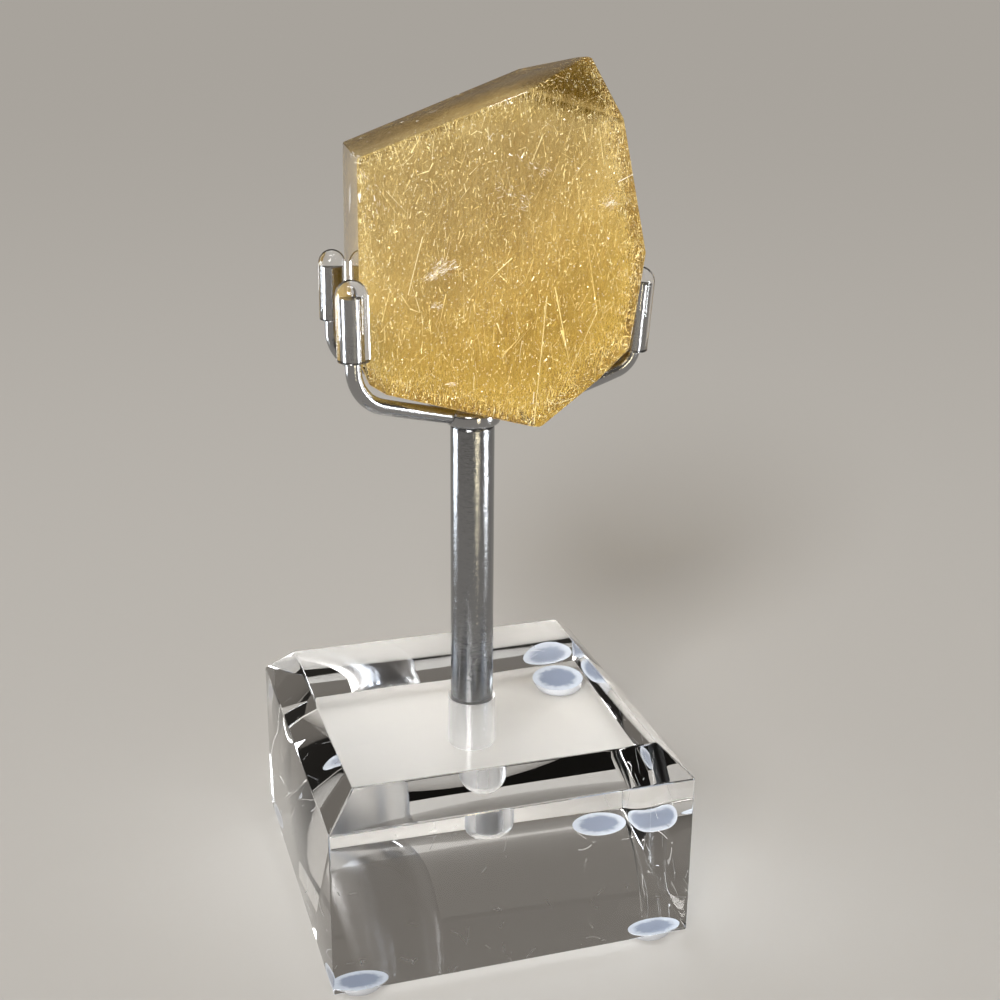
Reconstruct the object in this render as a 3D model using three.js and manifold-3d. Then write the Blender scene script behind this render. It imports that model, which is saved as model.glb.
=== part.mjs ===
// A polished freeform of rutilated quartz held upright by three bent steel prongs on a post,
// which stands in a clear block with a chamfered top edge and four small domed feet.
// Millimetres, +Z up. The origin is on the surface it stands on, under the middle of the block,
// with +X along the block's front edge and +Y towards the back.
import * as THREE from 'three';
import { mergeVertices } from 'three/addons/utils/BufferGeometryUtils.js';
import Module from 'manifold-3d';

const wasm = await Module();
wasm.setup();

const gap = 0.3; // kept between pieces that touch

const foot = { radius: 3.8, height: 2, flat: 2.2, inset: 4.2 };
const block = { side: 50, height: 28, chamfer: 4 };
const bore = { radius: 3.35, depth: 18, round: 1.5 };
const post = { x: 0.9, y: -0.3, radius: 3, height: 58.4, chamfer: 1.2 };
const hub = { radius: 3.8, height: 2.2, round: 0.7 };
const wire = { radius: 1.05, sides: 12, steps: 40 };
const cap = { solidTip: 2.3, towardsStone: 0.1 };

// A prong leaves the hub, passes the knee and turns up at a corner. Radii are from the post,
// heights from the middle of the hub, and the upright end leans outwards and sideways. The caps
// were cut by hand, so each has its own length, and its own height above the bend.
const prongs = {
  front_left: {
    bearing: 198, reach: 18.1, rise: 4.7, knee: [10.9, 2.35], bend: 4.1, lean: [0.2, -0.5],
    cap: { radius: 2.1, length: 10.4, above: 1.1 },
  },
  back_left: {
    bearing: 139.9, reach: 21, rise: 5.9, knee: [11, 3.9], bend: 3.45, lean: [-0.5, 0],
    cap: { radius: 1.85, length: 9.6, above: 1.7 },
  },
  right: {
    bearing: 0, reach: 22.65, rise: 5.6, knee: [10.5, 1], bend: 2.2, lean: [3.8, -1.2],
    cap: { radius: 2.1, length: 11.5, above: -0.3 },
  },
};

// The stone is what its polished faces leave of a lump: each faces the bearing and rise given,
// in degrees, and lies at its reach from the stone's centre.
const stone = { x: 1.8, y: 2.2, z: 88.8, lump: 64 };
const stoneFaces = {
  front: { bearing: -104.5, rise: -2, reach: 9.9 },
  shoulder: { bearing: -81, rise: 56, reach: 28.2 },
  top: { bearing: 171, rise: 68.5, reach: 22.2 },
  left: { bearing: 173.3, rise: 0.1, reach: 15.9 },
  back: { bearing: 84.7, rise: 6.8, reach: 14 },
  backRight: { bearing: 20, rise: 17.3, reach: 19.6 },
  rightUpper: { bearing: -4, rise: 12, reach: 19.9 },
  rightLower: { bearing: -12.4, rise: -7.2, reach: 19.9 },
  rightCorner: { bearing: -2, rise: -42, reach: 16.9 },
  underRight: { bearing: 15, rise: -44.5, reach: 13.8 },
  underLeft: { bearing: 131, rise: -74, reach: 13 },
  leftCorner: { bearing: 156.5, rise: -58, reach: 15.7 },
  leftLower: { bearing: 166, rise: -22, reach: 16.9 },
};

const blockBase = foot.height;
const blockTop = blockBase + block.height;
const boreFloor = blockTop - bore.depth;
const postTop = boreFloor + gap + post.height;
const hubMiddle = postTop + hub.height / 2;

const quartz = new THREE.MeshStandardMaterial({ color: 0xc2a35c, roughness: 0.08, metalness: 0 });
const acrylic = new THREE.MeshStandardMaterial({ color: 0xe9eef0, roughness: 0.05, metalness: 0 });
const steel = new THREE.MeshStandardMaterial({ color: 0xb4b6b8, roughness: 0.22, metalness: 1 });
const wireSteel = new THREE.MeshStandardMaterial({ color: 0xc6c7c8, roughness: 0.1, metalness: 1 });
const vinyl = new THREE.MeshStandardMaterial({ color: 0xdfe4e6, roughness: 0.12, metalness: 0 });
const bumper = new THREE.MeshStandardMaterial({ color: 0xe4e8ea, roughness: 0.3, metalness: 0 });

const radians = THREE.MathUtils.degToRad;

function toSolid(geometry) {
  const bare = geometry.clone();
  bare.deleteAttribute('normal');
  bare.deleteAttribute('uv');
  const merged = mergeVertices(bare, 1e-4);
  const vertProperties = new Float32Array(merged.attributes.position.array);
  const triVerts = new Uint32Array(merged.index.array);
  return new wasm.Manifold(new wasm.Mesh({ numProp: 3, vertProperties, triVerts }));
}

function toGeometry(solid) {
  const { vertProperties, triVerts } = solid.getMesh();
  const geometry = new THREE.BufferGeometry();
  geometry.setAttribute('position', new THREE.BufferAttribute(new Float32Array(vertProperties), 3));
  geometry.setIndex(new THREE.BufferAttribute(new Uint32Array(triVerts), 1));
  geometry.computeVertexNormals();
  return geometry;
}

// A turned shape about the vertical axis, from [radius, height] points that start and end on it.
function turned(points, segments, start = 0) {
  const profile = points.map(([r, z]) => new THREE.Vector2(r, z));
  return new THREE.LatheGeometry(profile, segments, start).rotateX(Math.PI / 2);
}

// Points of an arc about [r, z], from one angle to another in degrees.
function arc(r, z, radius, from, to, count) {
  return Array.from({ length: count + 1 }, (_, i) => {
    const angle = radians(from + ((to - from) * i) / count);
    return [r + radius * Math.cos(angle), z + radius * Math.sin(angle)];
  });
}

// A square block with a bevelled top edge, and a round-floored bore for the post.
function blockGeometry() {
  const corner = (block.side / 2) * Math.SQRT2;
  const inner = (block.side / 2 - block.chamfer) * Math.SQRT2;
  const { height, chamfer } = block;
  const outline = [[0, 0], [corner, 0], [corner, height - chamfer], [inner, height], [0, height]];
  const body = toSolid(turned(outline, 4, Math.PI / 4).translate(0, 0, blockBase));
  const floor = arc(bore.radius - bore.round, bore.round, bore.round, -90, 0, 4);
  const hole = turned([[0, 0], ...floor, [bore.radius, bore.depth + 2], [0, bore.depth + 2]], 40);
  return toGeometry(body.subtract(toSolid(hole.translate(post.x, post.y, boreFloor))));
}

// A flat underside with a side that swells up to the block.
function footGeometry() {
  const side = arc(foot.flat, foot.height, foot.radius - foot.flat, -90, 0, 6);
  const stretch = foot.height / (foot.radius - foot.flat);
  const dome = side.map(([r, z]) => [r, foot.height + (z - foot.height) * stretch]);
  return turned([[0, 0], ...dome, [0, foot.height]], 28);
}

function postGeometry() {
  const { radius, height, chamfer } = post;
  return turned([[0, 0], [radius - chamfer, 0], [radius, chamfer], [radius, height], [0, height]], 40);
}

function hubGeometry() {
  const { radius, height, round } = hub;
  const lower = arc(radius - round, round, round, -90, 0, 3);
  const upper = arc(radius - round, height - round, round, 0, 90, 3);
  return turned([[0, 0], ...lower, ...upper, [0, height]], 32);
}

// The prong's line: a gentle curve out from the hub, a tight bend, and a straight end.
function prongLine({ bearing, reach, rise, knee, bend, lean }) {
  const out = new THREE.Vector3(Math.cos(radians(bearing)), Math.sin(radians(bearing)), 0);
  const side = new THREE.Vector3(-out.y, out.x, 0);
  const at = (radius, height) => new THREE.Vector3(post.x, post.y, hubMiddle + height)
    .addScaledVector(out, radius);
  const kneePoint = at(...knee);
  const corner = at(reach, rise);
  const along = corner.clone().sub(kneePoint).normalize();
  const upright = new THREE.Vector3(0, 0, 1)
    .addScaledVector(out, Math.tan(radians(lean[0])))
    .addScaledVector(side, Math.tan(radians(lean[1])))
    .normalize();
  const bendStart = corner.clone().addScaledVector(along, -bend);
  const bendEnd = corner.clone().addScaledVector(upright, bend);
  return { start: at(hub.radius / 2, 0), kneePoint, bendStart, corner, bendEnd, upright, out };
}

function prongPath(line, up) {
  const { start, kneePoint, bendStart, corner, bendEnd, upright } = line;
  const path = new THREE.CurvePath();
  const tightness = 0.58;
  path.add(new THREE.QuadraticBezierCurve3(start, kneePoint, bendStart));
  const handleIn = bendStart.clone().lerp(corner, tightness);
  const handleOut = bendEnd.clone().lerp(corner, tightness);
  path.add(new THREE.CubicBezierCurve3(bendStart, handleIn, handleOut, bendEnd));
  path.add(new THREE.LineCurve3(bendEnd, bendEnd.clone().addScaledVector(upright, up)));
  return path;
}

// A round bar along a path.
function tube(path, radius, steps) {
  const section = new THREE.Shape().absarc(0, 0, radius, 0, 2 * Math.PI, false);
  return new THREE.ExtrudeGeometry(section, { extrudePath: path, steps, curveSegments: wire.sides / 2 });
}

// The wire's inner end is hollowed to fit round the hub.
function prongGeometry(line, wireEnd) {
  const bar = toSolid(tube(prongPath(line, wireEnd), wire.radius, wire.steps));
  const clearance = new THREE.CylinderGeometry(hub.radius + gap, hub.radius + gap, 4 * hub.height, 48);
  clearance.rotateX(Math.PI / 2).translate(post.x, post.y, hubMiddle);
  return toGeometry(bar.subtract(toSolid(clearance)));
}

// A round-ended sleeve slipped over the prong's end, with its thicker wall towards the stone.
function capGeometry(line, wireEnd, { radius, length, above }) {
  const dome = arc(0, length - radius, radius, 0, 90, 7);
  const sleeve = turned([[0, 0], [radius, 0], ...dome], 28);
  const turn = new THREE.Quaternion().setFromUnitVectors(new THREE.Vector3(0, 0, 1), line.upright);
  const base = line.bendEnd.clone().addScaledVector(line.upright, above);
  base.addScaledVector(line.out, -cap.towardsStone);
  sleeve.applyQuaternion(turn).translate(base.x, base.y, base.z);
  const room = tube(prongPath(line, wireEnd + gap), wire.radius + gap, wire.steps);
  return toGeometry(toSolid(sleeve).subtract(toSolid(room)));
}

// A lump with everything beyond each polished face cut away.
function stoneGeometry() {
  const centre = new THREE.Vector3(stone.x, stone.y, stone.z);
  const zenith = new THREE.Vector3(0, 0, 1);
  const size = 2 * stone.lump;
  let solid = toSolid(new THREE.BoxGeometry(stone.lump, stone.lump, stone.lump).translate(...centre));
  for (const { bearing, rise, reach } of Object.values(stoneFaces)) {
    const level = Math.cos(radians(rise));
    const facing = new THREE.Vector3(
      level * Math.cos(radians(bearing)), level * Math.sin(radians(bearing)), Math.sin(radians(rise)));
    const waste = new THREE.BoxGeometry(size, size, size);
    waste.applyQuaternion(new THREE.Quaternion().setFromUnitVectors(zenith, facing));
    const away = centre.clone().addScaledVector(facing, reach + size / 2);
    solid = solid.subtract(toSolid(waste.translate(...away)));
  }
  return toGeometry(solid);
}

const model = new THREE.Group();

function addPiece(name, geometry, material, x = 0, y = 0, z = 0) {
  const mesh = new THREE.Mesh(geometry, material);
  mesh.name = name;
  mesh.position.set(x, y, z);
  model.add(mesh);
}

addPiece('quartz', stoneGeometry(), quartz);
addPiece('block', blockGeometry(), acrylic);
const footPlace = block.side / 2 - foot.inset;
for (const [row, y] of [['front', -footPlace], ['back', footPlace]]) {
  for (const [hand, x] of [['left', -footPlace], ['right', footPlace]]) {
    addPiece(`foot_${row}_${hand}`, footGeometry(), bumper, x, y, 0);
  }
}
addPiece('post', postGeometry(), steel, post.x, post.y, boreFloor + gap);
addPiece('hub', hubGeometry(), wireSteel, post.x, post.y, postTop);
for (const [place, prong] of Object.entries(prongs)) {
  const line = prongLine(prong);
  const wireEnd = prong.cap.above + prong.cap.length - cap.solidTip;
  addPiece(`prong_${place}`, prongGeometry(line, wireEnd), wireSteel);
  addPiece(`cap_${place}`, capGeometry(line, wireEnd, prong.cap), vinyl);
}

export default model;
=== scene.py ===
import bpy
import math
import numpy as np
from mathutils import Matrix, Vector


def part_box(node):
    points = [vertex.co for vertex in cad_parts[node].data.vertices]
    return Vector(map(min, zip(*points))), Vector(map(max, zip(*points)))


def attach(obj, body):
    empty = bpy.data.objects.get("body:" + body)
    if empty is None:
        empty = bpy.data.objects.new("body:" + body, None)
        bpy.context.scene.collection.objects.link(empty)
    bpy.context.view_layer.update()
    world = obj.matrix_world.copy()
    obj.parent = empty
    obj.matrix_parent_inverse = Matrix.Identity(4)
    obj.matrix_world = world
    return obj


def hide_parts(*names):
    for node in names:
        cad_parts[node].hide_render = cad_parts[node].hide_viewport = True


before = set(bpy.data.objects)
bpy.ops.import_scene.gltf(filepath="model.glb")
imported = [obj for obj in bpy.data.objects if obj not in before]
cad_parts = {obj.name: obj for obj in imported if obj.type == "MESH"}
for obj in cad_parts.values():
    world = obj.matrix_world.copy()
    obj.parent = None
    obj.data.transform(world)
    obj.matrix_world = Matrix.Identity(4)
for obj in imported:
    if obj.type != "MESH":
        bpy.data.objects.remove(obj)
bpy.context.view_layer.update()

mm = 0.001


def selectOnly(piece):
    bpy.ops.object.select_all(action="DESELECT")
    piece.select_set(True)
    bpy.context.view_layer.objects.active = piece


def named(piece, name):
    piece.name = name
    piece.data.name = name
    return piece


def finishModifier(piece, kind, **settings):
    selectOnly(piece)
    modifier = piece.modifiers.new(kind.lower(), kind)
    for key, value in settings.items():
        setattr(modifier, key, value)
    bpy.ops.object.modifier_apply(modifier=modifier.name)


def selectFaces(piece, wanted):
    # leaves the piece in edit mode, with only the wanted faces selected
    selectOnly(piece)
    bpy.ops.object.mode_set(mode="EDIT")
    bpy.ops.mesh.select_mode(type="FACE")
    bpy.ops.mesh.select_all(action="DESELECT")
    bpy.ops.object.mode_set(mode="OBJECT")
    for polygon in piece.data.polygons:
        polygon.select = wanted(polygon)
    bpy.ops.object.mode_set(mode="EDIT")


def looksUp(polygon):
    return polygon.normal.z > 0.9


def looksDown(polygon):
    return polygon.normal.z < -0.9


def roundEdges(piece, width, segments, angle=60, **settings):
    finishModifier(piece, "BEVEL", width=width, segments=segments, limit_method="ANGLE",
                   angle_limit=math.radians(angle), **settings)


def smoothShade(piece, angle=40):
    selectOnly(piece)
    bpy.ops.object.shade_smooth_by_angle(angle=math.radians(angle))


def settle(piece, material, slotName, *nodes):
    selectOnly(piece)
    bpy.ops.object.transform_apply(location=True, rotation=True, scale=True)
    if material:
        piece.data.materials.clear()
        piece.data.materials.append(material)
    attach(piece, "root")
    if nodes:
        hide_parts(*nodes)


# The camera stands where the photograph was taken from
cameraView = {
    "place": (-53.907 * mm, -187.332 * mm, 129.903 * mm),
    "bearing": -17.45,
    "rise": 19.82,
    "roll": 0.51,
    "lens": 54.45,
    "sensor": 36,
    "nearest": 5 * mm,
    "pixels": 1000,
}


def cameraTurn():
    turn = Matrix.Rotation(math.radians(cameraView["bearing"]), 4, "Z")
    tilt = Matrix.Rotation(math.radians(90 - cameraView["rise"]), 4, "X")
    roll = Matrix.Rotation(math.radians(cameraView["roll"]), 4, "Z")
    return turn @ tilt @ roll


def makeCamera():
    bpy.ops.object.camera_add()
    camera = named(bpy.context.object, "photoCamera")
    camera.matrix_world = Matrix.Translation(cameraView["place"]) @ cameraTurn()
    camera.data.lens = cameraView["lens"]
    camera.data.sensor_width = cameraView["sensor"]
    camera.data.clip_start = cameraView["nearest"]
    bpy.context.scene.camera = camera


def sightLine(pixel):
    # the direction in which the photograph's camera sees a pixel
    half, focal = cameraView["pixels"] / 2, cameraView["pixels"] * cameraView["lens"] / cameraView["sensor"]
    return (cameraTurn().to_3x3() @ Vector((pixel[0] - half, half - pixel[1], -focal))).normalized()


# The studio: a pale matt floor under one broad sun-like lamp, with softboxes that line the steel
studio = {
    "floorSize": 40.0, "floorDrop": 0.1 * mm,  # the floor lies just under the feet
    "floorColour": (0.60, 0.585, 0.56, 1),
    "worldColour": (0.66, 0.60, 0.53, 1),
    "worldStrength": 0.22,
    "keyFrom": (-0.45, -0.70, 0.52),
    "keyStrength": 3.0,
    "keyWidth": 22,
    "keyColour": (1.0, 0.975, 0.94),
    "softboxes": [
        # name, place, height of its aim, size, power, colour, and what it lights besides what is glossy
        ("leftBox", (-0.235, 0.105, 0.06), 0.05, (0.12, 0.12), 0.50, (0.86, 0.93, 1.0), "clear"),
        ("rightBox", (0.215, -0.130, 0.06), 0.05, (0.05, 0.12), 0.30, (0.94, 0.97, 1.0), "clear"),
        ("warmBox", (0.045, -0.280, 0.05), 0.05, (0.020, 0.11), 0.10, (1.0, 0.88, 0.60), ""),
        ("topBox", (-0.10, -0.10, 0.60), 0.09, (0.30, 0.06), 0.7, (1.0, 1.0, 1.0), "matt"),
    ],
}


def makeStudio():
    bpy.ops.mesh.primitive_plane_add(size=studio["floorSize"], location=(0, 0, -studio["floorDrop"]))
    floor = named(bpy.context.object, "studioFloor")
    material, nodes, links, shader = newMaterial("palePaper")
    shader.inputs["Base Color"].default_value = studio["floorColour"]
    shader.inputs["Specular IOR Level"].default_value = 0.0
    floor.data.materials.append(material)
    bpy.ops.object.light_add(type="SUN", location=studio["keyFrom"])
    key = named(bpy.context.object, "keyLight")
    key.data.energy, key.data.color = studio["keyStrength"], studio["keyColour"]
    key.data.angle = math.radians(studio["keyWidth"])
    key.rotation_euler = Vector(studio["keyFrom"]).to_track_quat("Z", "Y").to_euler()
    for name, place, aimHeight, size, power, colour, lights in studio["softboxes"]:
        bpy.ops.object.light_add(type="AREA", location=place)
        lamp = named(bpy.context.object, name)
        lamp.data.shape = "RECTANGLE"
        lamp.data.size, lamp.data.size_y = size
        lamp.data.energy = power
        lamp.data.color = colour
        away = Vector(place) - Vector((0, 0, aimHeight))
        lamp.rotation_euler = away.to_track_quat("Z", "Y").to_euler()
        lamp.visible_diffuse, lamp.visible_transmission = lights == "matt", lights == "clear"
    world = bpy.data.worlds.new("studioWorld")
    world.use_nodes = True
    background = world.node_tree.nodes["Background"]
    background.inputs["Color"].default_value = studio["worldColour"]
    background.inputs["Strength"].default_value = studio["worldStrength"]
    bpy.context.scene.world = world
    bpy.context.scene.view_settings.view_transform = "Standard"


def newMaterial(name):
    material = bpy.data.materials.new(name)
    material.use_nodes = True
    nodes, links = material.node_tree.nodes, material.node_tree.links
    shader = nodes["Principled BSDF"]
    return material, nodes, links, shader


def addNode(nodes, kind, **settings):
    node = nodes.new(kind)
    for key, value in settings.items():
        if key in node.inputs:
            node.inputs[key].default_value = value
        else:
            setattr(node, key, value)
    return node


def lampsPass(nodes, links, shader, colour):
    # lamps reach what is inside the clear piece
    path = addNode(nodes, "ShaderNodeLightPath")
    clear = addNode(nodes, "ShaderNodeBsdfTransparent", Color=colour)
    mix = addNode(nodes, "ShaderNodeMixShader")
    links.new(path.outputs["Is Shadow Ray"], mix.inputs[0])
    links.new(shader.outputs[0], mix.inputs[1])
    links.new(clear.outputs[0], mix.inputs[2])
    links.new(mix.outputs[0], nodes["Material Output"].inputs["Surface"])


def newGroup(name, inputs, outputs):
    # inputs as (name, kind of socket, value)
    group = bpy.data.node_groups.new(name, "ShaderNodeTree")
    for label, kind, value in inputs:
        socket = group.interface.new_socket(name=label, in_out="INPUT", socket_type="NodeSocket" + kind)
        socket.default_value = value
    for label, kind in outputs:
        group.interface.new_socket(name=label, in_out="OUTPUT", socket_type="NodeSocket" + kind)
    entry, leave = group.nodes.new("NodeGroupInput"), group.nodes.new("NodeGroupOutput")
    return group, group.nodes, group.links, entry.outputs, leave.inputs


def placeGroup(nodes, group, values):
    node = nodes.new("ShaderNodeGroup")
    node.node_tree = group
    for label, value in values.items():
        node.inputs[label].default_value = value
    return node


def compare(nodes, links, value, operation, limit):
    step = addNode(nodes, "ShaderNodeMath", operation=operation)
    links.new(value, step.inputs[0])
    step.inputs[1].default_value = limit
    return step.outputs[0]


def scratchMask(nodes, links, look):
    # curved hair scratches, broken up, that fade out above the given height
    place = addNode(nodes, "ShaderNodeTexCoord")
    bend = addNode(nodes, "ShaderNodeTexNoise", Scale=look["bend"], Detail=1.0)
    warp = addNode(nodes, "ShaderNodeVectorMath", operation="MULTIPLY_ADD")
    warp.inputs[1].default_value = (look["sway"],) * 3
    cells = addNode(nodes, "ShaderNodeTexVoronoi", feature="DISTANCE_TO_EDGE", Scale=look["cells"])
    breaks = addNode(nodes, "ShaderNodeTexNoise", Scale=look["breaks"], Detail=2.0)
    parts = addNode(nodes, "ShaderNodeSeparateXYZ")
    fade = addNode(nodes, "ShaderNodeMapRange")
    fade.inputs["From Min"].default_value, fade.inputs["From Max"].default_value = look["top"], look["full"]
    side = compare(nodes, links, parts.outputs["Z"], "GREATER_THAN", look["bottom"])
    links.new(place.outputs["Object"], bend.inputs["Vector"])
    links.new(bend.outputs["Color"], warp.inputs[0])
    links.new(place.outputs["Object"], warp.inputs[2])
    links.new(warp.outputs[0], cells.inputs["Vector"])
    links.new(place.outputs["Object"], breaks.inputs["Vector"])
    links.new(place.outputs["Object"], parts.inputs[0])
    links.new(parts.outputs["Z"], fade.inputs["Value"])
    lines = compare(nodes, links, cells.outputs["Distance"], "LESS_THAN", look["width"])
    some = compare(nodes, links, breaks.outputs["Fac"], "GREATER_THAN", look["share"])
    mask = lines
    for part in (some, side, fade.outputs[0]):
        both = addNode(nodes, "ShaderNodeMath", operation="MULTIPLY")
        links.new(mask, both.inputs[0])
        links.new(part, both.inputs[1])
        mask = both.outputs[0]
    return mask


def clearMaterial(name, look):
    material, nodes, links, shader = newMaterial(name)
    shader.inputs["Base Color"].default_value = look["colour"]
    shader.inputs["Roughness"].default_value = look["roughness"]
    shader.inputs["IOR"].default_value = look["ior"]
    shader.inputs["Transmission Weight"].default_value = look.get("clear", 1.0)
    if "scratches" in look:
        blend = addNode(nodes, "ShaderNodeMapRange")
        blend.inputs["To Min"].default_value = look["roughness"]
        blend.inputs["To Max"].default_value = look["scratches"]["roughness"]
        links.new(scratchMask(nodes, links, look["scratches"]), blend.inputs["Value"])
        links.new(blend.outputs[0], shader.inputs["Roughness"])
    if "absorption" in look:
        volume = addNode(nodes, "ShaderNodeVolumeAbsorption", Color=look["absorption"],
                         Density=look["density"])
        links.new(volume.outputs[0], nodes["Material Output"].inputs["Volume"])
    lampsPass(nodes, links, shader, look["shadow"])
    return material


# The stone keeps the CAD solid's polished faces, with softly rounded edges
stoneShape = {
    "edge": 0.26 * mm, "segments": 3,
    "leastAngle": 4, "smoothAngle": 12,  # degrees between faces
    "sameFace": 0.9998,  # cosine under which two triangles are on different faces
    "rough": 1.2,  # how much larger the rough cube is than the stone
    "weld": 0.01 * mm,
    "blunt": [
        # where the tip points, and how much is worn off it
        ((0.35, 0.10, 0.93), 0.45 * mm),
        ((-0.10, -0.20, -0.97), 0.25 * mm),
    ],
}


def facePlanes(node):
    planes = []  # each flat face once, as its outward normal and its distance from the origin
    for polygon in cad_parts[node].data.polygons:
        reach = polygon.normal.dot(polygon.center)
        known = [plane for plane in planes
                 if plane["normal"].dot(polygon.normal) > stoneShape["sameFace"] * plane["normal"].length]
        if not known:
            known = [{"normal": Vector(), "reach": 0.0, "area": 0.0}]
            planes += known
        known[0]["normal"] += polygon.normal * polygon.area
        known[0]["reach"] += reach * polygon.area
        known[0]["area"] += polygon.area
    return [(plane["normal"].normalized(), plane["reach"] / plane["area"]) for plane in planes]


stonePlanes = facePlanes("quartz")


def cutOff(piece, spot, normal):
    selectOnly(piece)
    bpy.ops.object.mode_set(mode="EDIT")
    bpy.ops.mesh.select_all(action="SELECT")
    bpy.ops.mesh.bisect(plane_co=spot, plane_no=normal, use_fill=True, clear_outer=True)
    bpy.ops.object.mode_set(mode="OBJECT")


def makeStone(material, edgeMaterial):
    low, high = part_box("quartz")
    size = max(high - low) * stoneShape["rough"]
    bpy.ops.object.select_all(action="DESELECT")
    bpy.ops.mesh.primitive_cube_add(size=size, location=(low + high) / 2)
    stone = named(bpy.context.object, "quartzFreeform")
    bpy.ops.object.transform_apply(location=True)
    for normal, reach in stonePlanes:
        cutOff(stone, normal * reach, normal)
    for direction, depth in stoneShape["blunt"]:
        aim = Vector(direction).normalized()
        tip = max((vertex.co for vertex in stone.data.vertices), key=aim.dot)
        cutOff(stone, tip - aim * depth, aim)
    bpy.ops.object.mode_set(mode="EDIT")
    bpy.ops.mesh.select_all(action="SELECT")
    bpy.ops.mesh.remove_doubles(threshold=stoneShape["weld"])
    bpy.ops.mesh.normals_make_consistent(inside=False)
    bpy.ops.object.mode_set(mode="OBJECT")
    roundEdges(stone, stoneShape["edge"], stoneShape["segments"], stoneShape["leastAngle"], material=1)
    smoothShade(stone, stoneShape["smoothAngle"])
    stone.data.materials.append(material)
    stone.data.materials.append(edgeMaterial)
    settle(stone, None, "quartz", "quartz")


# Rutile needles grow inside the stone, as slivers of four faces
rutile = {
    "clearSkin": 0.10 * mm,  # no needle comes nearer to a polished face
    "lean": (0.955, -0.297, 0.0),  # upright needles lean to and fro along the broad face
    "tone": 0.59, "toneSpread": 0.04, "brightSpread": 0.22, "warmthSpread": 0.1,
    "upShare": 0.7,  # of the way to the upper left corner; the rest is the way across
    "dullCorner": 0.16, "dullRange": (0.45, 0.9), "warmRange": (0.2, 0.8),
    "cloudDepth": 0.08, "cloudWidth": (4, 15), "cloudSeed": 5,
    # painted shade: how much darker and browner the haze needles are under the narrow faces
    "paintedShade": 0.60,
    "families": [
        # share, lean, spread: the rest point any way
        (0.38, 0.14, 0.16),
        (0.24, -0.16, 0.16),
        (0.08, 0.95, 0.25),
    ],
    "kinds": {
        # count, shortest, longest, thinnest, thickest
        "hazeA": (47000, 1.2, 4.8, 0.012, 0.027),
        "hazeB": (47000, 1.2, 4.8, 0.012, 0.027),
        "hazeC": (47000, 1.2, 4.8, 0.012, 0.027),
        "hazeD": (47000, 1.2, 4.8, 0.012, 0.027),
        "threads": (2600, 1.0, 5.0, 0.03, 0.07),
        "dashes": (8000, 0.22, 0.9, 0.09, 0.17),
        "glints": (9500, 0.10, 0.28, 0.12, 0.23),
    },
    "hazeShell": (0.9 * mm, 8 * mm),  # how deep under the faces each kind grows
    "brightShell": (0.10 * mm, 2.0 * mm),
    "fewLong": 2.2, "fewThick": 2,  # powers that make most needles short and thin
    "seed": 41,
    "tries": 5,  # points drawn for each needle, as many of them fall outside its shell
    # zone: slope of its border against the broad face, and the depth where its painted shade ends in mm
    "paintedShadeZones": {"shoulder": (0.80, 9), "top": (0.20, 8), "left": (0.12, 6)},
    "paintedShadeBorder": 0.25 * mm,
    "clearLimit": 0.5,  # with more painted shade than this, no bright needle grows
}


# Polished faces that bound a zone of the stone, by the way they look
zones = {
    "front": (-0.25, -0.968, -0.035),
    "shoulder": (0.087, -0.552, 0.829),
    "top": (-0.362, 0.057, 0.93),
    "left": (-0.993, 0.117, 0.0),
}


def faceToward(direction):
    return max(stonePlanes, key=lambda plane: plane[0].dot(Vector(direction)))


def roomAlong(points, directions):
    # how far each needle can run both ways before it leaves the stone
    reach = np.full(len(points), 1.0)
    for normal, distance in stonePlanes:
        room = distance - rutile["clearSkin"] - points @ np.array(normal)
        speed = np.maximum(np.abs(directions @ np.array(normal)), 1e-6)
        reach = np.minimum(reach, np.where(room > 0, room / speed, 0))
    return reach


def needleDirections(draws, count):
    directions = draws.normal(size=(count, 3))
    pick, lean, start = draws.random(count), np.array(rutile["lean"]), 0.0
    for share, slope, spread in rutile["families"]:
        chosen = (pick >= start) & (pick < start + share)
        directions[chosen] = directions[chosen] * spread + lean * slope + [0, 0, 1]
        start += share
    return directions / np.linalg.norm(directions, axis=1)[:, None]


def needleMesh(name, centres, directions, lengths, widths, draws, material, paintedShade=0.0):
    across = np.cross(directions, draws.normal(size=centres.shape))
    across /= np.linalg.norm(across, axis=1)[:, None]
    upward = np.cross(directions, across)
    half = directions * (lengths / 2)[:, None]
    side, other = across * (widths / 2)[:, None], upward * (widths / 2)[:, None]
    corners = np.stack([centres - half - side, centres - half + side, centres + half - other,
                        centres + half + other], axis=1)
    faces = np.array([[0, 1, 2], [0, 3, 1], [0, 2, 3], [1, 3, 2]])
    count = len(centres)
    allFaces = (faces[None] + 4 * np.arange(count)[:, None, None]).reshape(-1, 3)
    mesh = bpy.data.meshes.new(name)
    mesh.vertices.add(4 * count)
    mesh.vertices.foreach_set("co", corners.reshape(-1))
    mesh.loops.add(12 * count)
    mesh.loops.foreach_set("vertex_index", allFaces.reshape(-1))
    mesh.polygons.add(4 * count)
    mesh.polygons.foreach_set("loop_start", np.arange(0, 12 * count, 3))
    mesh.update()
    mesh.shade_flat()
    # every needle has its own tone, darker and browner where shade is painted under the narrow faces
    tone = mesh.attributes.new("tone", "FLOAT", "POINT")
    tone.data.foreach_set("value", np.repeat(needleTone(centres, draws, paintedShade), 4))
    warmth = mesh.attributes.new("warmth", "FLOAT", "POINT")
    warmth.data.foreach_set("value", np.repeat(needleWarmth(centres, draws), 4))
    piece = bpy.data.objects.new(name, mesh)
    bpy.context.collection.objects.link(piece)
    piece.data.materials.append(material)
    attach(piece, "root")


def depthUnder(points, direction):
    normal, reach = faceToward(direction)
    return reach - points @ np.array(normal)


def smooth(values, low, high):
    t = np.clip((values - low) / (high - low), 0, 1)
    return t * t * (3 - 2 * t)


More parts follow.
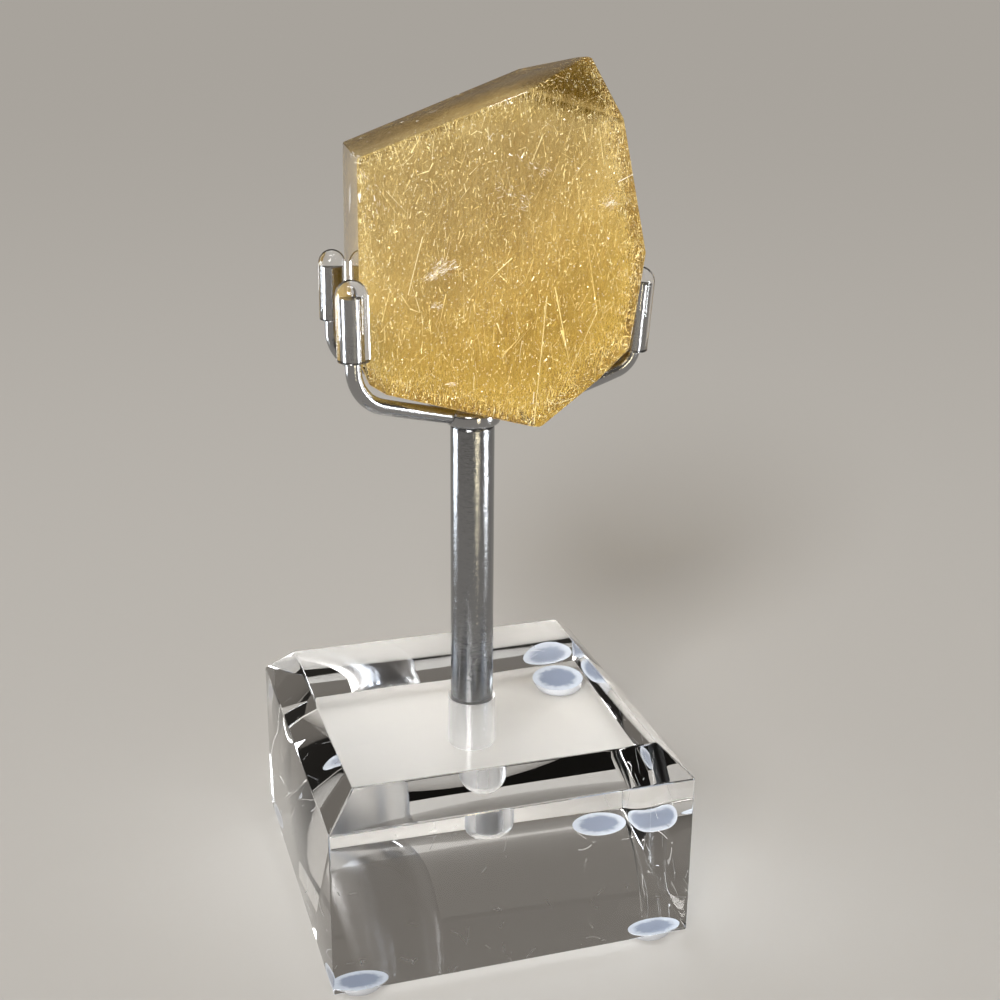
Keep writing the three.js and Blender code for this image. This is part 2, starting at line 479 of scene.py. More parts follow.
def clouds(points, count=14):
    # slow swells in the stone, a few millimetres across, between -1 and 1
    draws = np.random.default_rng(rutile["cloudSeed"])
    waves = draws.normal(size=(count, 3))
    widths = draws.uniform(*rutile["cloudWidth"], count) * mm
    waves *= (2 * math.pi / widths / np.linalg.norm(waves, axis=1))[:, None]
    swell = np.sin(points @ waves.T + draws.uniform(0, 2 * math.pi, count)).sum(axis=1)
    return np.clip(swell / math.sqrt(2 * count), -1, 1)


def paintedShadePart(points, wanted=("shoulder", "top", "left")):
    # what shows through the narrow faces lies nearer to them than to the broad one; the needles there get
    # painted shade
    behindFront, dark = depthUnder(points, zones["front"]), 0
    for zone in wanted:
        slope, end = rutile["paintedShadeZones"][zone]
        under = depthUnder(points, zones[zone])
        part = smooth(behindFront * slope - under, 0, rutile["paintedShadeBorder"])
        dark = np.maximum(dark, part * (1 - smooth(under, end / 2 * mm, end * mm)))
    return dark


def towardsCorner(points):
    # from 0 at the stone's lower right to 1 at its upper left
    low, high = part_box("quartz")
    across, up = [(points[:, axis] - low[axis]) / (high[axis] - low[axis]) for axis in (0, 2)]
    return rutile["upShare"] * up + (1 - rutile["upShare"]) * (1 - across)


def needleTone(points, draws, paintedShade):
    spread = rutile["toneSpread"] if paintedShade else rutile["brightSpread"]
    spread = spread * draws.normal(size=len(points)) + rutile["cloudDepth"] * clouds(points)
    dull = rutile["dullCorner"] * smooth(towardsCorner(points), *rutile["dullRange"])
    # painted shade: needles under the narrow faces are made darker here
    return np.clip(rutile["tone"] + spread - dull - paintedShade * paintedShadePart(points), 0, 1)


def needleWarmth(points, draws):
    spread = rutile["warmthSpread"] * draws.normal(size=len(points))
    return np.clip(1 - smooth(towardsCorner(points), *rutile["warmRange"]) + spread, 0, 1)


def makeNeedles(materials):
    low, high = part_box("quartz")
    for number, (name, (count, short, long, thin, thick)) in enumerate(rutile["kinds"].items()):
        draws = np.random.default_rng(rutile["seed"] + number)
        points = draws.uniform(low, high, size=(count * rutile["tries"], 3))
        isHaze = name.startswith("haze")
        nearest, farthest = rutile["hazeShell" if isHaze else "brightShell"]
        under = np.min([reach - points @ np.array(normal) for normal, reach in stonePlanes], axis=0)
        inside = (under > nearest) & (under < farthest)
        if not isHaze:
            inside &= paintedShadePart(points, ("top", "left")) < rutile["clearLimit"]
        points = points[inside][:count]
        directions = needleDirections(draws, len(points))
        lengths = short + (long - short) * draws.random(len(points)) ** rutile["fewLong"]
        widths = thin + (thick - thin) * draws.random(len(points)) ** rutile["fewThick"]
        lengths = np.minimum(lengths * mm, 2 * roomAlong(points, directions))
        keep = lengths > short / 2 * mm
        needleMesh("rutile_" + name, points[keep], directions[keep], lengths[keep], widths[keep] * mm,
                   draws, materials[name], rutile["paintedShade"] if isHaze else 0.0)


# Single needles, flaws and painted highlights that stand out in the broad face, by the pixel where each one
# shows:
# from, to, width in mm, depth in mm of its first end; the other end lies a tenth deeper
farDeeper = 1.1
standoutSeed = 97
standouts = {
    "streaks": [
        ((547, 296), (534, 424), 0.17, 1.2),
        ((555, 287), (569, 361), 0.20, 0.9),
        ((562, 330), (566, 350), 0.36, 0.8),
        ((489, 280), (512, 258), 0.17, 0.7),
        ((503, 355), (524, 333), 0.17, 0.7),
        ((573, 150), (580, 205), 0.10, 1.8),
        ((584, 220), (597, 312), 0.13, 1.6),
        ((597, 312), (553, 408), 0.11, 2.2),
        ((422.5, 237), (408, 295), 0.15, 1.3),
        ((390, 290), (382, 322), 0.13, 1.5),
        ((446, 294), (438, 331), 0.13, 1.5),
        ((479, 273), (475, 306), 0.14, 1.1),
        ((542, 137), (532, 162), 0.16, 0.9),
        ((583, 127), (586, 142), 0.16, 0.9),
        ((599, 127), (604, 166), 0.13, 1.2),
        ((401, 295), (410, 309), 0.14, 0.7),
        ((410, 309), (421, 313), 0.14, 0.7),
        ((411, 282), (420, 312), 0.10, 1.4),
        ((398, 333), (401, 345), 0.15, 0.8),
        ((497, 323), (501, 334), 0.18, 0.8),
        ((433, 163), (429, 171), 0.17, 0.6),
        ((429, 171), (417, 175), 0.17, 0.6),
        ((431, 186), (434, 197), 0.16, 0.8),
        ((410, 180), (404, 193), 0.15, 0.8),
        ((421, 194), (416, 204), 0.15, 0.8),
        ((418, 141), (411, 153), 0.17, 0.6),
        ((485, 129), (490, 136), 0.13, 0.9),
        ((471, 135), (477, 131), 0.15, 0.6),
        ((477, 131), (482, 133), 0.15, 0.6),
        ((460, 231), (458, 240), 0.16, 0.9),
        ((464, 233), (459, 244), 0.14, 1.0),
        ((517, 242), (514, 232), 0.14, 0.9),
        ((463, 272), (464, 281), 0.16, 0.7),
        ((474, 304), (475, 314), 0.16, 0.7),
        ((430, 325), (431, 334), 0.16, 0.7),
        ((464, 183), (466, 192), 0.16, 0.7),
    ],
    "flecksAndHighlights": [
        # painted highlights: the first two, by the front-left edge, are reflections of light drawn as white
        # flecks; the rest are white specks in the stone
        ((360, 194), (360, 203), 0.30, 0.4),
        ((374, 195), (375, 201), 0.24, 0.4),
        ((487, 136), (492, 141), 0.10, 0.4),
        ((492, 135), (488, 140), 0.09, 0.5),
        ((502, 135), (503, 138), 0.24, 0.4),
        ((507, 101), (508, 104), 0.20, 0.4),
        ((509, 154), (512, 156), 0.24, 0.4),
        ((534, 166), (536, 169), 0.22, 0.4),
        ((510, 194), (511, 197), 0.22, 0.5),
        ((522, 195), (525, 197), 0.22, 0.5),
        ((577, 167), (579, 169), 0.24, 0.4),
        ((607, 237), (609, 239), 0.24, 0.4),
        ((580, 330), (582, 333), 0.20, 0.5),
        ((618, 182), (634, 174), 0.14, 0.25),
        ((534, 392), (533, 404), 0.18, 1.1),
    ],
    "topSpecks": [
        ((360, 138), (362, 138), 0.45, 0.4),
        ((366, 142), (368, 141), 0.35, 0.4),
        ((388, 133), (390, 132), 0.45, 0.4),
        ((401, 122), (403, 122), 0.50, 0.4),
        ((416, 121), (418, 121), 0.45, 0.4),
        ((414, 133), (416, 132), 0.35, 0.4),
        ((430, 113), (437, 110), 0.30, 0.4),
        ((457, 95), (460, 94), 0.50, 0.4),
    ],
    # painted highlight: the left strip's white streak, a reflection of light, drawn as a row of white
    # specks just under the left face
    "leftPaintedHighlight": [((349 + 0.13 * step, 189 - 0.5 * step), (349.2 + 0.13 * step, 214 - step), 0.30, 0.4)
                   for step in range(12)],
}

# Soft white flaws made of fine barbs, and one painted highlight: from, to, half width in pixels, count
feathers = [
    ((425, 280), (457, 265), 4.0, 95),
    ((427, 276), (447, 262), 4.5, 45),
    ((606, 205), (615, 198), 4.0, 36),
    ((447, 385), (457, 383), 2.0, 20),
    ((432, 307), (441, 307), 3.0, 18),
    ((496, 188), (532, 202), 9.0, 34),
    # painted highlight: this one, at the three-face corner, is a sparkle of light drawn as white barbs
    ((352, 153), (360, 164), 3.0, 16),
    ((518, 158), (548, 174), 8.0, 26),
    ((362, 170), (380, 215), 8.0, 30),
]

# one barb: depth in mm, half length in pixels, how far it turns aside and dips, width in mm
barbShape = {"seed": 61, "depth": (0.3, 1.4), "reach": (1.0, 3.4), "turn": 0.4, "dip": 0.1,
             "width": (0.03, 0.065), "nearEnd": 0.35, "farEnd": 0.85}


def besideFace(pixel, depth, zone="front"):
    # where the needle lies, if the polished face bends the sight line as quartz does
    start, aim = Vector(cameraView["place"]), sightLine(pixel)
    normal, reach = faceToward(zones[zone])
    hit = start + aim * ((reach - normal.dot(start)) / normal.dot(aim))
    ratio = 1 / quartzLook["ior"]
    cosine = -normal.dot(aim)
    bent = aim * ratio + normal * (ratio * cosine - math.sqrt(1 - ratio ** 2 * (1 - cosine ** 2)))
    return hit + bent * (depth * mm / -bent.dot(normal))


def makeStandouts(materials):
    draws = np.random.default_rng(standoutSeed)
    for kind, lines in standouts.items():
        zone = {"topSpecks": "top", "leftPaintedHighlight": "left"}.get(kind, "front")
        ends = [(besideFace(first, depth, zone), besideFace(last, depth * farDeeper, zone))
                for first, last, width, depth in lines]
        centres = np.array([(a + b) / 2 for a, b in ends])
        directions = np.array([(b - a).normalized() for a, b in ends])
        lengths = np.array([(b - a).length for a, b in ends])
        widths = np.array([line[2] * mm for line in lines])
        needleMesh("rutile_" + kind, centres, directions, lengths, widths, draws, materials[kind])


def makeFeathers(material):
    draws = np.random.default_rng(barbShape["seed"])
    centres, directions, lengths, widths = [], [], [], []
    for first, last, spread, count in feathers:
        run = np.array(last, float) - np.array(first, float)
        along = run / np.linalg.norm(run)
        across = np.array([-along[1], along[0]])
        for _ in range(count):
            part = draws.random()
            # the feather widens towards its far end
            widening = barbShape["nearEnd"] + (barbShape["farEnd"] - barbShape["nearEnd"]) * part
            spot = np.array(first) + run * part + across * draws.normal() * spread * widening
            depth = draws.uniform(*barbShape["depth"])
            barb = along + across * draws.normal() * barbShape["turn"]
            barb *= draws.uniform(*barbShape["reach"])
            dip = draws.normal() * barbShape["dip"]
            a, b = besideFace(spot - barb, depth), besideFace(spot + barb, depth + dip)
            centres.append((a + b) / 2)
            directions.append((b - a).normalized())
            lengths.append((b - a).length)
            widths.append(draws.uniform(*barbShape["width"]) * mm)
    needleMesh("rutile_feathers", np.array(centres), np.array(directions), np.array(lengths),
               np.array(widths), draws, material)


toneStops = {"Dark": 0.0, "Brown": 0.35, "Gold": 0.65, "Pale": 1.0}
colourLabels = [f"{row} {label}" for row in ("Cool", "Warm") for label in toneStops]


def makeNeedleColour():
    # a needle's tone picks its place between four colours, and its warmth picks between two such rows
    inputs = [("Tone", "Float", 0.5), ("Warmth", "Float", 0.5)]
    inputs += [(label, "Color", (0.5, 0.5, 0.5, 1)) for label in colourLabels]
    group, nodes, links, entry, leave = newGroup("needleColour", inputs, [("Color", "Color")])
    labels, rows = list(toneStops), []
    for row in ("Cool", "Warm"):
        colour = entry[f"{row} {labels[0]}"]
        for before, after in zip(labels, labels[1:]):
            part = addNode(nodes, "ShaderNodeMapRange")
            part.inputs["From Min"].default_value = toneStops[before]
            part.inputs["From Max"].default_value = toneStops[after]
            mix = addNode(nodes, "ShaderNodeMix", data_type="RGBA")
            links.new(entry["Tone"], part.inputs["Value"])
            links.new(part.outputs[0], mix.inputs[0])
            links.new(colour, mix.inputs[6])
            links.new(entry[f"{row} {after}"], mix.inputs[7])
            colour = mix.outputs[2]
        rows.append(colour)
    mix = addNode(nodes, "ShaderNodeMix", data_type="RGBA")
    links.new(entry["Warmth"], mix.inputs[0])
    links.new(rows[0], mix.inputs[6])
    links.new(rows[1], mix.inputs[7])
    links.new(mix.outputs[2], leave["Color"])
    return group


needleColour = makeNeedleColour()


def rutileMaterial(name, look):
    material, nodes, links, shader = newMaterial(name)
    colours = [(*colour, 1) for colour in look["Cool"] + look["Warm"]]
    colour = placeGroup(nodes, needleColour, dict(zip(colourLabels, colours)))
    for label in ("tone", "warmth"):
        value = addNode(nodes, "ShaderNodeAttribute", attribute_name=label)
        links.new(value.outputs["Fac"], colour.inputs[label.capitalize()])
    links.new(colour.outputs["Color"], shader.inputs["Base Color"])
    shader.inputs["Metallic"].default_value = look["metallic"]
    shader.inputs["Roughness"].default_value = look["roughness"]
    shader.inputs["Specular IOR Level"].default_value = look["specular"]
    if "shadow" in look:
        lampsPass(nodes, links, shader, look["shadow"])
    return material


# Colours go from dark to pale; "shadow" is what a fine needle lets through, so that light gets deep in
hazeLook = {
    "Cool": [(0.14, 0.090, 0.006), (0.38, 0.29, 0.11), (0.74, 0.64, 0.36), (0.92, 0.85, 0.60)],
    "Warm": [(0.14, 0.085, 0.004), (0.38, 0.25, 0.04), (0.76, 0.60, 0.155), (0.94, 0.80, 0.34)],
    "metallic": 0.0, "roughness": 0.5, "specular": 0.0, "shadow": (0.86, 0.80, 0.60, 1),
}
denseLook = {key: value for key, value in hazeLook.items() if key != "shadow"}
brightLook = {
    "Cool": [(0.50, 0.35, 0.10), (0.90, 0.76, 0.36), (1.0, 0.92, 0.55), (1.0, 0.98, 0.78)],
    "Warm": [(0.50, 0.32, 0.07), (0.90, 0.72, 0.27), (1.0, 0.88, 0.44), (1.0, 0.96, 0.66)],
    "metallic": 0.15, "roughness": 0.28, "specular": 0.8,
}
sparkLook = {
    "Cool": [(0.75, 0.60, 0.25), (0.95, 0.88, 0.60), (1.0, 0.98, 0.80), (1.0, 1.0, 0.95)],
    "Warm": [(0.75, 0.55, 0.18), (0.95, 0.84, 0.50), (1.0, 0.95, 0.70), (1.0, 1.0, 0.90)],
    "metallic": 0.2, "roughness": 0.22, "specular": 1.0,
}
# near-white, for the white flaws and for the painted highlights that are drawn as flecks
flawAndHighlightLook = {
    "Cool": [(0.90, 0.86, 0.80), (0.97, 0.94, 0.91), (1.0, 0.99, 0.97), (1.0, 1.0, 1.0)],
    "Warm": [(0.90, 0.84, 0.74), (0.97, 0.93, 0.86), (1.0, 0.98, 0.92), (1.0, 1.0, 0.97)],
    "metallic": 0.0, "roughness": 0.2, "specular": 1.0,
}


# The clear block, with bevelled top edges and a blind bore for the post
blockShape = {"chamfer": 4 * mm, "edge": 0.25 * mm, "segments": 3,
              "boreRadius": 3.35 * mm, "boreDepth": 18 * mm, "boreRound": 1.5 * mm,
              "boreSides": 72, "boreSegments": 6, "drillAbove": 4 * mm,
              "leastAngle": 20, "smoothAngle": 30}  # degrees between faces


def makeBlock(clear, frosted):
    low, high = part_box("block")
    postLow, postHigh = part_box("post")
    centre, size, chamfer = (low + high) / 2, high - low, blockShape["chamfer"]
    bpy.ops.object.select_all(action="DESELECT")
    bpy.ops.mesh.primitive_cube_add(size=1, location=centre - Vector((0, 0, chamfer / 2)),
                                    scale=size - Vector((0, 0, chamfer)))
    block = named(bpy.context.object, "clearBlock")
    bpy.ops.object.transform_apply(location=True, scale=True)
    selectFaces(block, looksUp)
    bpy.ops.mesh.extrude_region_move(TRANSFORM_OT_translate={"value": (0, 0, chamfer)})
    bpy.ops.transform.resize(value=(1 - 2 * chamfer / size.x, 1 - 2 * chamfer / size.y, 1),
                             center_override=centre)
    bpy.ops.object.mode_set(mode="OBJECT")
    roundEdges(block, blockShape["edge"], blockShape["segments"], blockShape["leastAngle"])
    middle, depth, above = (postLow + postHigh) / 2, blockShape["boreDepth"], blockShape["drillAbove"]
    bpy.ops.mesh.primitive_cylinder_add(vertices=blockShape["boreSides"], radius=blockShape["boreRadius"],
                                        depth=depth + above,
                                        location=(middle.x, middle.y, high.z - depth / 2 + above / 2))
    drill = named(bpy.context.object, "drill")
    bpy.ops.object.transform_apply(location=True)
    selectFaces(drill, looksDown)
    bpy.ops.mesh.bevel(offset=blockShape["boreRound"], segments=blockShape["boreSegments"])
    bpy.ops.object.mode_set(mode="OBJECT")
    drill.data.materials.append(frosted)
    block.data.materials.append(clear)
    block.data.materials.append(frosted)
    finishModifier(block, "BOOLEAN", object=drill, operation="DIFFERENCE", solver="EXACT",
                   material_mode="TRANSFER")
    bpy.data.objects.remove(drill)
    smoothShade(block, blockShape["smoothAngle"])
    settle(block, None, "acrylic", "block")


# Domed bumper feet, whose round side is a quarter of an ellipse; the bond goes into the block
footShape = {"flat": 2.2 * mm, "bond": 0.03 * mm, "round": 0.98, "sides": 56, "rings": 8,
             "smoothAngle": 60}


def makeFeet(material, glue):
    for row in ("front", "back"):
        for hand in ("left", "right"):
            node = f"foot_{row}_{hand}"
            low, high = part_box(node)
            radius, height = (high.x - low.x) / 2, high.z - low.z
            side = radius - footShape["flat"]
            bpy.ops.object.select_all(action="DESELECT")
            bpy.ops.mesh.primitive_cylinder_add(vertices=footShape["sides"], radius=radius, depth=side,
                                                location=(low + high) / 2)
            foot = named(bpy.context.object, f"bumper_{row}_{hand}")
            selectFaces(foot, looksDown)
            bpy.ops.mesh.bevel(offset=side * footShape["round"], segments=footShape["rings"])
            bpy.ops.mesh.select_all(action="SELECT")
            bpy.ops.transform.resize(value=(1, 1, (height + footShape["bond"]) / side),
                                     center_override=(low + high) / 2)
            bpy.ops.transform.translate(value=(0, 0, footShape["bond"] / 2))
            bpy.ops.object.mode_set(mode="OBJECT")
            smoothShade(foot, footShape["smoothAngle"])
            foot.data.materials.append(material)
            foot.data.materials.append(glue)
            for polygon in foot.data.polygons:
                polygon.material_index = int(looksUp(polygon))
            settle(foot, None, "bumper", node)


# The glue between a foot and the block: a pale rim around a bluer middle, with a ragged border
glueLook = {
    "middle": (0.21, 0.25, 0.34, 1), "rim": (0.52, 0.57, 0.65, 1),
    "rimStart": 0.58, "rimEnd": 0.86,  # shares of the foot's radius
    "patches": 900.0, "ragged": 0.45, "roughness": 0.55,
}


def glueMaterial(name, look):
    material, nodes, links, shader = newMaterial(name)
    place = addNode(nodes, "ShaderNodeTexCoord")
    shift = addNode(nodes, "ShaderNodeVectorMath", operation="SUBTRACT")
    shift.inputs[1].default_value = (0.5, 0.5, 0)
    flatten = addNode(nodes, "ShaderNodeVectorMath", operation="MULTIPLY")
    flatten.inputs[1].default_value = (2, 2, 0)
    distance = addNode(nodes, "ShaderNodeVectorMath", operation="LENGTH")
    noise = addNode(nodes, "ShaderNodeTexNoise", Scale=look["patches"], Detail=3.0, Roughness=0.6)
    ragged = addNode(nodes, "ShaderNodeMath", operation="MULTIPLY_ADD")
    ragged.inputs[1].default_value = look["ragged"]
    share = addNode(nodes, "ShaderNodeMapRange", interpolation_type="SMOOTHSTEP")
    share.inputs["From Min"].default_value = look["rimStart"] + look["ragged"] / 2
    share.inputs["From Max"].default_value = look["rimEnd"] + look["ragged"] / 2
    mix = addNode(nodes, "ShaderNodeMix", data_type="RGBA")
    mix.inputs[6].default_value, mix.inputs[7].default_value = look["middle"], look["rim"]
    links.new(place.outputs["Generated"], shift.inputs[0])
    links.new(shift.outputs[0], flatten.inputs[0])
    links.new(flatten.outputs[0], distance.inputs[0])
    links.new(place.outputs["Object"], noise.inputs["Vector"])
    links.new(noise.outputs["Fac"], ragged.inputs[0])
    links.new(distance.outputs["Value"], ragged.inputs[2])
    links.new(ragged.outputs[0], share.inputs["Value"])
    links.new(share.outputs[0], mix.inputs[0])
    links.new(mix.outputs[2], shader.inputs["Base Color"])
    shader.inputs["Roughness"].default_value = look["roughness"]
    return material


# The post
postShape = {"sides": 96, "edge": 0.5 * mm, "segments": 4}


def makePost(material):
    low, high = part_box("post")
    bpy.ops.object.select_all(action="DESELECT")
    bpy.ops.mesh.primitive_cylinder_add(vertices=postShape["sides"], radius=(high.x - low.x) / 2,
                                        depth=high.z - low.z, location=(low + high) / 2)
    post = named(bpy.context.object, "steelPost")
    bpy.ops.object.transform_apply(location=True)
    roundEdges(post, postShape["edge"], postShape["segments"])
    smoothShade(post)
    settle(post, material, "post_steel", "post")


# The claw: a low hub and three wires, each from the hub through a knee to an upright end.
# Bearings and leans are in degrees; reach, rise, knee and bend are in mm from the hub's middle,
# and a cap is its radius, its length and how far it starts above the bend
claw = {
    "wireRadius": 1.05 * mm, "tightness": 0.58,
    "hubSides": 72, "hubEdge": 0.7 * mm, "hubSegments": 5,
    "wireEdge": 0.25 * mm, "wireSegments": 3,
    "steps": {"arm": 28, "bend": 18, "end": 6},
    "prongs": {
        "front_left": {"bearing": 198, "reach": 18.1, "rise": 4.7, "knee": (10.9, 2.35), "bend": 4.1,
                       "lean": (0.2, -0.5), "cap": (2.1, 10.4, 1.1)},
        "back_left": {"bearing": 139.9, "reach": 21, "rise": 5.9, "knee": (11, 3.9), "bend": 3.45,
                      "lean": (-0.5, 0), "cap": (1.85, 9.6, 1.7)},
        "right": {"bearing": 0, "reach": 22.65, "rise": 5.6, "knee": (10.5, 1), "bend": 2.2,
                  "lean": (3.8, -1.2), "cap": (2.1, 11.5, -0.3)},
    },
    "solidTip": 2.3,  # of clear cap above each wire's end
    "towardsStone": 0.1,
}


def prongLine(prong):
    low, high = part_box("hub")
    middle = (low + high) / 2
    bearing = math.radians(prong["bearing"])
    out = Vector((math.cos(bearing), math.sin(bearing), 0))
    side = Vector((-out.y, out.x, 0))

    def at(radius, height):
        return middle + out * radius * mm + Vector((0, 0, height * mm))

    knee, corner = at(*prong["knee"]), at(prong["reach"], prong["rise"])
    upright = Vector((0, 0, 1)) + out * math.tan(math.radians(prong["lean"][0]))
    upright = (upright + side * math.tan(math.radians(prong["lean"][1]))).normalized()
    bendStart = corner + (knee - corner).normalized() * prong["bend"] * mm
    bendEnd = corner + upright * prong["bend"] * mm
    start = at((high.x - low.x) / 4 / mm, 0)  # half the hub's radius out, as the solid wires start
    return start, knee, bendStart, corner, bendEnd, upright, out


def bezier(a, b, c, d, count):
    spots = []
    for step in range(count):
        t = step / count
        spots.append(a * (1 - t) ** 3 + b * 3 * t * (1 - t) ** 2 + c * 3 * t * t * (1 - t) + d * t ** 3)
    return spots


def prongPoints(prong):
    start, knee, bendStart, corner, bendEnd, upright, _ = prongLine(prong)
    _, length, above = prong["cap"]
    wireEnd = bendEnd + upright * (above + length - claw["solidTip"]) * mm
    tight, steps = claw["tightness"], claw["steps"]
    spots = bezier(start, start.lerp(knee, 2 / 3), bendStart.lerp(knee, 2 / 3), bendStart, steps["arm"])
    spots += bezier(bendStart, bendStart.lerp(corner, tight), bendEnd.lerp(corner, tight), bendEnd,
                    steps["bend"])
    spots += [bendEnd.lerp(wireEnd, step / steps["end"]) for step in range(steps["end"] + 1)]
    return spots


def tubeAlong(name, spots, radius, resolution=12):
    curve = bpy.data.curves.new(name, "CURVE")
    curve.dimensions = "3D"
    curve.bevel_depth = radius
    curve.bevel_resolution = resolution
    curve.use_fill_caps = True
    spline = curve.splines.new("POLY")
    spline.points.add(len(spots) - 1)
    for point, spot in zip(spline.points, spots):
        point.co = (*spot, 1)
    piece = bpy.data.objects.new(name, curve)
    bpy.context.collection.objects.link(piece)
    selectOnly(piece)
    bpy.ops.object.convert(target="MESH")
    return bpy.context.object


def makeClaw(material):
    low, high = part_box("hub")
    centre = (low + high) / 2
    bpy.ops.object.select_all(action="DESELECT")
    bpy.ops.mesh.primitive_cylinder_add(vertices=claw["hubSides"], radius=(high.x - low.x) / 2,
                                        depth=high.z - low.z, location=centre)
    hub = named(bpy.context.object, "steelClaw")
    roundEdges(hub, claw["hubEdge"], claw["hubSegments"])
    for name, prong in claw["prongs"].items():
        wire = tubeAlong("wire_" + name, prongPoints(prong), claw["wireRadius"])
        roundEdges(wire, claw["wireEdge"], claw["wireSegments"])
        finishModifier(hub, "BOOLEAN", object=wire, operation="UNION", solver="EXACT")
        bpy.data.objects.remove(wire)
    smoothShade(hub)
    settle(hub, material, "wire_steel", "hub", *["prong_" + name for name in claw["prongs"]])


# Clear soft caps on the wires' ends, each with the wire's room in it
capShape = {"sides": 48, "rings": 24, "rim": 0.18 * mm, "rimSegments": 3, "weld": 0.001 * mm,
            "grip": 0.01 * mm}


def makeCaps(material):
    for name, prong in claw["prongs"].items():
        radius, length, above = prong["cap"]
        *_, bendEnd, upright, out = prongLine(prong)
        bpy.ops.object.select_all(action="DESELECT")
        bpy.ops.mesh.primitive_uv_sphere_add(segments=capShape["sides"], ring_count=capShape["rings"],
                                             radius=radius * mm)
        cap = named(bpy.context.object, "clearCap_" + name)
        bpy.ops.object.mode_set(mode="EDIT")
        bpy.ops.mesh.select_all(action="SELECT")
        bpy.ops.mesh.bisect(plane_co=(0, 0, 0), plane_no=(0, 0, -1), use_fill=True, clear_outer=True)
        bpy.ops.mesh.extrude_region_move(TRANSFORM_OT_translate={"value": (0, 0, -(length - radius) * mm)})
        bpy.ops.mesh.select_all(action="SELECT")
        bpy.ops.mesh.remove_doubles(threshold=capShape["weld"])
        bpy.ops.mesh.normals_make_consistent(inside=False)
        bpy.ops.object.mode_set(mode="OBJECT")
        roundEdges(cap, capShape["rim"], capShape["rimSegments"])
        top = bendEnd + upright * (above + length - radius) * mm - out * claw["towardsStone"] * mm
        turn = Vector((0, 0, 1)).rotation_difference(upright)
        cap.matrix_world = Matrix.Translation(top) @ turn.to_matrix().to_4x4()
        selectOnly(cap)
        bpy.ops.object.transform_apply(location=True, rotation=True)
        room = tubeAlong("capRoom", prongPoints(prong), claw["wireRadius"] - capShape["grip"])
        finishModifier(cap, "BOOLEAN", object=room, operation="DIFFERENCE", solver="EXACT")
        bpy.data.objects.remove(room)
        smoothShade(cap)
        settle(cap, material, "vinyl", "cap_" + name)


def makeSteelGrain():
    # two layers of grain, each with its texture steps per metre along x, y and z and its depth in metres
    inputs = []
    for layer in ("Fine", "Coarse"):
        inputs += [(layer + " Scale", "Vector", (1000, 1000, 1000)), (layer + " Depth", "Float", 1e-5)]
    group, nodes, links, entry, leave = newGroup("steelGrain", inputs, [("Normal", "Vector")])
    place, normal = addNode(nodes, "ShaderNodeTexCoord"), None
    for layer in ("Fine", "Coarse"):
        stretch = addNode(nodes, "ShaderNodeMapping")
        noise = addNode(nodes, "ShaderNodeTexNoise", Scale=1.0, Detail=2.0, Roughness=0.5)
        bump = addNode(nodes, "ShaderNodeBump", Strength=1.0)
        links.new(place.outputs["Object"], stretch.inputs["Vector"])
        links.new(entry[layer + " Scale"], stretch.inputs["Scale"])
        links.new(stretch.outputs["Vector"], noise.inputs["Vector"])
        links.new(noise.outputs["Fac"], bump.inputs["Height"])
        links.new(entry[layer + " Depth"], bump.inputs["Distance"])
        if normal:
            links.new(normal, bump.inputs["Normal"])
        normal = bump.outputs["Normal"]
    links.new(normal, leave["Normal"])
    return group


steelGrain = makeSteelGrain()


def steelMaterial(name, look):
    material, nodes, links, shader = newMaterial(name)
    grain = placeGroup(nodes, steelGrain, look["grain"])
    links.new(grain.outputs["Normal"], shader.inputs["Normal"])
    shader.inputs["Base Color"].default_value = look["colour"]
    shader.inputs["Metallic"].default_value = 1.0
    shader.inputs["Roughness"].default_value = look["roughness"]
    return material
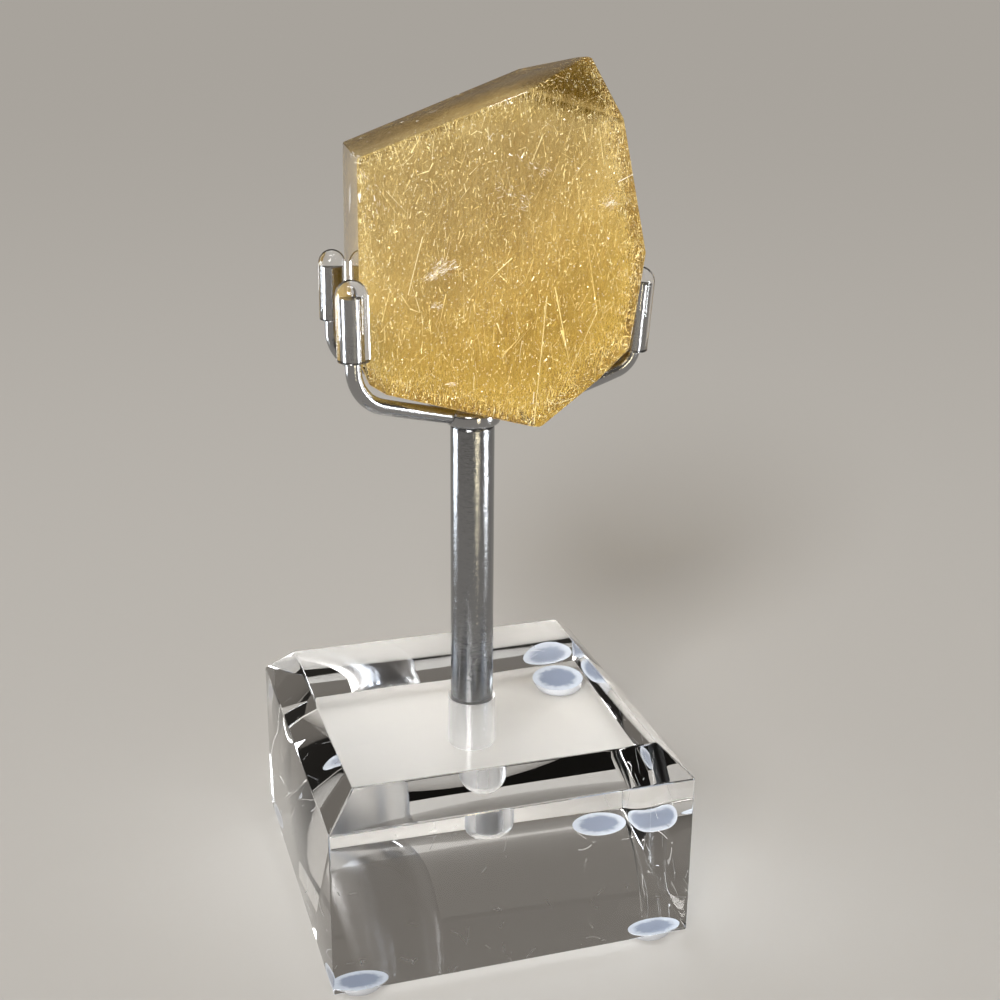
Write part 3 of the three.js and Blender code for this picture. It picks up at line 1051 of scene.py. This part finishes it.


# painted reflection: the rod's and the wires' steel colour is kept darker than bare steel, standing in for
# the dark surroundings that they mirror
rodLook = {"colour": (0.27, 0.275, 0.285, 1), "roughness": 0.09,
           "grain": {"Fine Scale": (700, 700, 24000), "Fine Depth": 1.3e-5,
                     "Coarse Scale": (2600, 2600, 1500), "Coarse Depth": 3.6e-5}}
wireLook = {"colour": (0.35, 0.35, 0.355, 1), "roughness": 0.12,
            "grain": {"Fine Scale": (5000, 5000, 5000), "Fine Depth": 1.6e-5,
                      "Coarse Scale": (900, 900, 900), "Coarse Depth": 2.0e-5}}
quartzLook = {"colour": (1.0, 0.99, 0.96, 1), "roughness": 0.015, "ior": 1.544,
              "absorption": (0.95, 0.74, 0.32, 1), "density": 30.0, "shadow": (0.95, 0.93, 0.88, 1)}
quartzEdgeLook = dict(quartzLook, roughness=0.14)
acrylicLook = {"colour": (1, 1, 1, 1), "roughness": 0.004, "ior": 1.49, "shadow": (0.72, 0.73, 0.74, 1),
               "scratches": {"bend": 70.0, "sway": 0.012, "cells": 110.0, "width": 0.006, "breaks": 260.0,
                             "share": 0.56, "roughness": 0.42,
                             "bottom": 2.4 * mm, "full": 9 * mm, "top": 15 * mm}}
frostLook = {"colour": (0.97, 0.97, 1.0, 1), "roughness": 0.32, "ior": 1.49,
             "shadow": (0.85, 0.86, 0.88, 1)}
vinylLook = {"colour": (1, 1, 1, 1), "roughness": 0.03, "ior": 1.52, "shadow": (0.9, 0.9, 0.9, 1)}
bumperLook = {"colour": (0.93, 0.95, 1, 1), "roughness": 0.22, "ior": 1.45, "clear": 0.5,
              "shadow": (0.85, 0.85, 0.87, 1)}

makeCamera()
makeStudio()
print("studio ready")
makeStone(clearMaterial("goldenQuartz", quartzLook), clearMaterial("quartzEdge", quartzEdgeLook))
print("stone ready")
haze = rutileMaterial("fineRutile", hazeLook)
dense = rutileMaterial("denseRutile", denseLook)
bright = rutileMaterial("brightRutile", brightLook)
spark = rutileMaterial("paleRutile", sparkLook)
makeNeedles({"hazeA": haze, "hazeB": haze, "hazeC": haze, "hazeD": dense,
             "threads": bright, "dashes": bright, "glints": spark})
# white flaws, and painted highlights drawn as white flecks
whiteFlawAndHighlight = rutileMaterial("whiteFlawAndHighlight", flawAndHighlightLook)
makeStandouts({"streaks": bright, "flecksAndHighlights": whiteFlawAndHighlight, "topSpecks": whiteFlawAndHighlight, "leftPaintedHighlight": whiteFlawAndHighlight})
makeFeathers(whiteFlawAndHighlight)
print("needles ready")
makeBlock(clearMaterial("clearAcrylic", acrylicLook), clearMaterial("frostedBore", frostLook))
makeFeet(clearMaterial("clearBumper", bumperLook), glueMaterial("paleGlue", glueLook))
print("block and feet ready")
makePost(steelMaterial("polishedRod", rodLook))
makeClaw(steelMaterial("polishedWire", wireLook))
makeCaps(clearMaterial("clearVinyl", vinylLook))
print("post, claw and caps ready")
